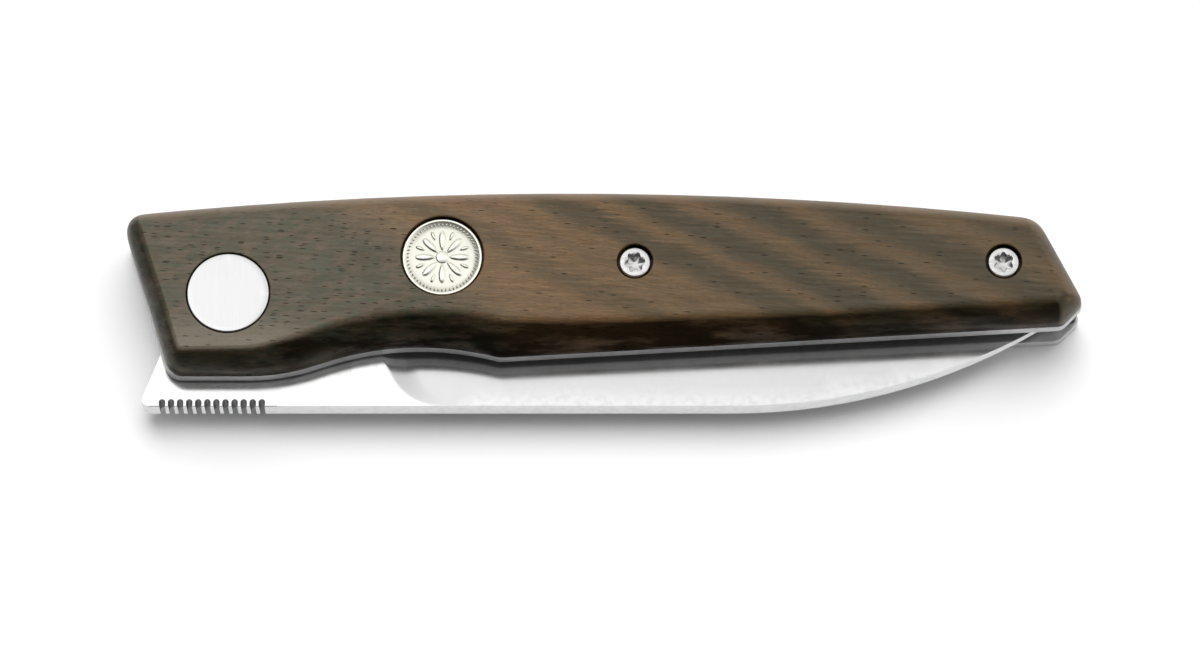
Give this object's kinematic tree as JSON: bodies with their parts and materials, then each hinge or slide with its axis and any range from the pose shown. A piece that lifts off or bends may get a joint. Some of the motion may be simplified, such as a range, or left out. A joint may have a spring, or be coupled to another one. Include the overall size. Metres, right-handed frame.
{
  "type": "folding pocket knife",
  "caption": "Slim folding pocket knife with a wood front scale, steel liner, frame lock in the rear plate and a flat-ground drop-point blade that folds into the handle.",
  "frame": {"origin": "under the middle of the closed knife's outline, on the rear face it lies on", "axes": "+X from the pivot end to the butt, +Y from the mouth to the back of the handle, +Z from the rear plate to the wood scale"},
  "size_m": [0.1104, 0.0246, 0.0111],
  "materials": {
    "dark_wood": "oiled satin, open-pored dark brown wood with slanting darker stripes",
    "plate_steel": "satin bead-blasted stainless plate",
    "blade_steel": "polished flats, satin spine",
    "polished_steel": "polished face, plain turned sides",
    "screw_steel": "bright stainless",
    "nickel_silver": "struck nickel silver, matt ground with polished relief",
    "bronze": "plain bearing bronze",
    "black_spacer": "matt black"
  },
  "bodies": {
    "handle": {"rear_plate": "plate_steel", "front_liner": "plate_steel", "front_scale": "dark_wood", "back_spacer": "black_spacer", "medallion": "nickel_silver", "stop_pin": "screw_steel", "pivot_barrel": "polished_steel", "pivot_screw": "screw_steel", "pivot_bushing": "bronze", "rear_washer": "bronze", "front_washer": "bronze", "mid_standoff": "screw_steel", "butt_standoff": "screw_steel", "front_mid_screw": "screw_steel", "front_butt_screw": "screw_steel", "rear_mid_screw": "screw_steel", "rear_butt_screw": "screw_steel"},
    "lock_bar": {"lock_bar": "plate_steel", "detent_ball": "screw_steel"},
    "blade": {"blade": "blade_steel"}
  },
  "joints": [
    {"name": "blade_pivot", "type": "hinge", "parent": "handle", "child": "blade", "pos_m": [-0.0431, -0.00055, 0.00357], "axis": [0, 0, -1], "range_deg": [0, 180]},
    {"name": "lock_bar_flex", "type": "hinge", "parent": "handle", "child": "lock_bar", "pos_m": [0.0169, -0.0055, 0.0008], "axis": [0, 1, 0], "range_deg": [0, 1.2]}
  ],
  "couplings": [
    {"joint": "lock_bar_flex", "follows": "blade_pivot", "ratio": 0.0062}
  ]
}
